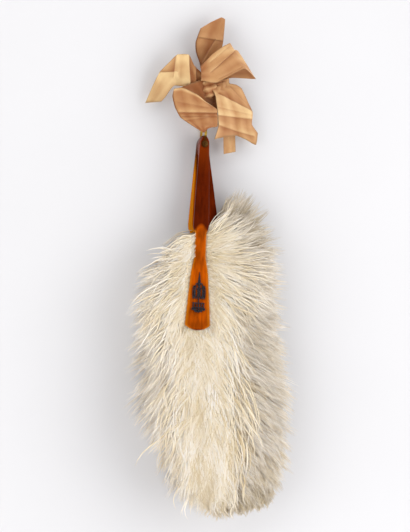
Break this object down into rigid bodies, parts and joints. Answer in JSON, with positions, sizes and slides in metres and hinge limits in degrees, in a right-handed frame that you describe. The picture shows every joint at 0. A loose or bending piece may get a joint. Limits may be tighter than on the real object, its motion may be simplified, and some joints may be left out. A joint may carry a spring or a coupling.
{
  "type": "feather fan",
  "caption": "Folding fan with long plumes on thin riveted sticks, two wide guards, and a ribbon bow on a bail; it opens on its rivet.",
  "frame": {"origin": "centre of the flat back end of the rivet", "axes": "+Z along the rivet towards the front guard, +Y from the rivet towards the heads and the bow, the sticks and plumes point to -Y"},
  "size_m": [0.1933, 0.5549, 0.0664],
  "materials": {
    "shell": "polished translucent blond shell, amber to dark red-brown",
    "plume": "soft cream barbs, matte",
    "gilt": "worn gilt",
    "silver": "dark oxidised silver with small set stones",
    "silk": "faded salmon silk ribbon",
    "thread": "waxed linen thread"
  },
  "bodies": {
    "pin": {"rivet": "gilt", "washer_back": "gilt", "washer_front": "gilt"},
    "front_leaf": {"front_guard": "shell", "front_guard_plume": "plume", "guard_mount": "silver"},
    "leaf_01": {"stick_01": "shell", "plume_01": "plume", "quill_binding_01": "thread"},
    "leaf_02": {"stick_02": "shell", "plume_02": "plume", "quill_binding_02": "thread"},
    "leaf_03": {"stick_03": "shell", "plume_03": "plume", "quill_binding_03": "thread"},
    "leaf_04": {"stick_04": "shell", "plume_04": "plume", "quill_binding_04": "thread"},
    "leaf_05": {"stick_05": "shell", "plume_05": "plume", "quill_binding_05": "thread"},
    "leaf_06": {"stick_06": "shell", "plume_06": "plume", "quill_binding_06": "thread"},
    "leaf_07": {"stick_07": "shell", "plume_07": "plume", "quill_binding_07": "thread"},
    "leaf_08": {"stick_08": "shell", "plume_08": "plume", "quill_binding_08": "thread"},
    "leaf_09": {"stick_09": "shell", "plume_09": "plume", "quill_binding_09": "thread"},
    "leaf_10": {"stick_10": "shell", "plume_10": "plume", "quill_binding_10": "thread"},
    "leaf_11": {"stick_11": "shell", "plume_11": "plume", "quill_binding_11": "thread"},
    "leaf_12": {"stick_12": "shell", "plume_12": "plume", "quill_binding_12": "thread"},
    "leaf_13": {"stick_13": "shell", "plume_13": "plume", "quill_binding_13": "thread"},
    "leaf_14": {"stick_14": "shell", "plume_14": "plume", "quill_binding_14": "thread"},
    "back_leaf": {"back_guard": "shell", "back_guard_plume": "plume"},
    "bow": {"bail": "gilt", "ribbon_pass": "silk", "ribbon_knot": "silk", "ribbon_loop_top": "silk", "ribbon_loop_upper": "silk", "ribbon_loop_lower": "silk", "ribbon_tail_left": "silk", "ribbon_tail_right": "silk", "ribbon_tail_short": "silk"}
  },
  "joints": [
    {"name": "fan_open", "type": "hinge", "parent": "pin", "child": "front_leaf", "pos_m": [0, 0, 0.0245], "axis": [0, 0, -1], "range_deg": [0, 70]},
    {"name": "leaf_01_turn", "type": "hinge", "parent": "pin", "child": "leaf_01", "pos_m": [0, 0, 0.0222], "axis": [0, 0, -1], "range_deg": [0, 62.4]},
    {"name": "leaf_02_turn", "type": "hinge", "parent": "pin", "child": "leaf_02", "pos_m": [0, 0, 0.0209], "axis": [0, 0, -1], "range_deg": [0, 54.6]},
    {"name": "leaf_03_turn", "type": "hinge", "parent": "pin", "child": "leaf_03", "pos_m": [0, 0, 0.0197], "axis": [0, 0, -1], "range_deg": [0, 46.8]},
    {"name": "leaf_04_turn", "type": "hinge", "parent": "pin", "child": "leaf_04", "pos_m": [0, 0, 0.0184], "axis": [0, 0, -1], "range_deg": [0, 38.7]},
    {"name": "leaf_05_turn", "type": "hinge", "parent": "pin", "child": "leaf_05", "pos_m": [0, 0, 0.0172], "axis": [0, 0, -1], "range_deg": [0, 30.3]},
    {"name": "leaf_06_turn", "type": "hinge", "parent": "pin", "child": "leaf_06", "pos_m": [0, 0, 0.0159], "axis": [0, 0, -1], "range_deg": [0, 21.7]},
    {"name": "leaf_07_turn", "type": "hinge", "parent": "pin", "child": "leaf_07", "pos_m": [0, 0, 0.0147], "axis": [0, 0, -1], "range_deg": [0, 12.7]},
    {"name": "leaf_08_turn", "type": "hinge", "parent": "pin", "child": "leaf_08", "pos_m": [0, 0, 0.0134], "axis": [0, 0, -1], "range_deg": [0, 3.4]},
    {"name": "leaf_09_turn", "type": "hinge", "parent": "pin", "child": "leaf_09", "pos_m": [0, 0, 0.0122], "axis": [0, 0, -1], "range_deg": [-6.5, 0]},
    {"name": "leaf_10_turn", "type": "hinge", "parent": "pin", "child": "leaf_10", "pos_m": [0, 0, 0.0109], "axis": [0, 0, -1], "range_deg": [-16.5, 0]},
    {"name": "leaf_11_turn", "type": "hinge", "parent": "pin", "child": "leaf_11", "pos_m": [0, 0, 0.0097], "axis": [0, 0, -1], "range_deg": [-26.8, 0]},
    {"name": "leaf_12_turn", "type": "hinge", "parent": "pin", "child": "leaf_12", "pos_m": [0, 0, 0.0084], "axis": [0, 0, -1], "range_deg": [-37.4, 0]},
    {"name": "leaf_13_turn", "type": "hinge", "parent": "pin", "child": "leaf_13", "pos_m": [0, 0, 0.0072], "axis": [0, 0, -1], "range_deg": [-48.2, 0]},
    {"name": "leaf_14_turn", "type": "hinge", "parent": "pin", "child": "leaf_14", "pos_m": [0, 0, 0.0059], "axis": [0, 0, -1], "range_deg": [-59.1, 0]},
    {"name": "back_leaf_turn", "type": "hinge", "parent": "pin", "child": "back_leaf", "pos_m": [0, 0, 0.0042], "axis": [0, 0, -1], "range_deg": [-70.1, 0]},
    {"name": "bow_swing", "type": "hinge", "parent": "pin", "child": "bow", "pos_m": [0, 0, 0.0265], "axis": [0, 0, 1], "range_deg": [-20, 20]}
  ],
  "couplings": [
    {"joint": "leaf_01_turn", "follows": "fan_open", "ratio": 0.8904},
    {"joint": "leaf_02_turn", "follows": "fan_open", "ratio": 0.7798},
    {"joint": "leaf_03_turn", "follows": "fan_open", "ratio": 0.6672},
    {"joint": "leaf_04_turn", "follows": "fan_open", "ratio": 0.5516},
    {"joint": "leaf_05_turn", "follows": "fan_open", "ratio": 0.4323},
    {"joint": "leaf_06_turn", "follows": "fan_open", "ratio": 0.3087},
    {"joint": "leaf_07_turn", "follows": "fan_open", "ratio": 0.1803},
    {"joint": "leaf_08_turn", "follows": "fan_open", "ratio": 0.047},
    {"joint": "leaf_09_turn", "follows": "fan_open", "ratio": -0.0913},
    {"joint": "leaf_10_turn", "follows": "fan_open", "ratio": -0.2344},
    {"joint": "leaf_11_turn", "follows": "fan_open", "ratio": -0.3817},
    {"joint": "leaf_12_turn", "follows": "fan_open", "ratio": -0.5328},
    {"joint": "leaf_13_turn", "follows": "fan_open", "ratio": -0.6868},
    {"joint": "leaf_14_turn", "follows": "fan_open", "ratio": -0.8429},
    {"joint": "back_leaf_turn", "follows": "fan_open", "ratio": -1}
  ]
}
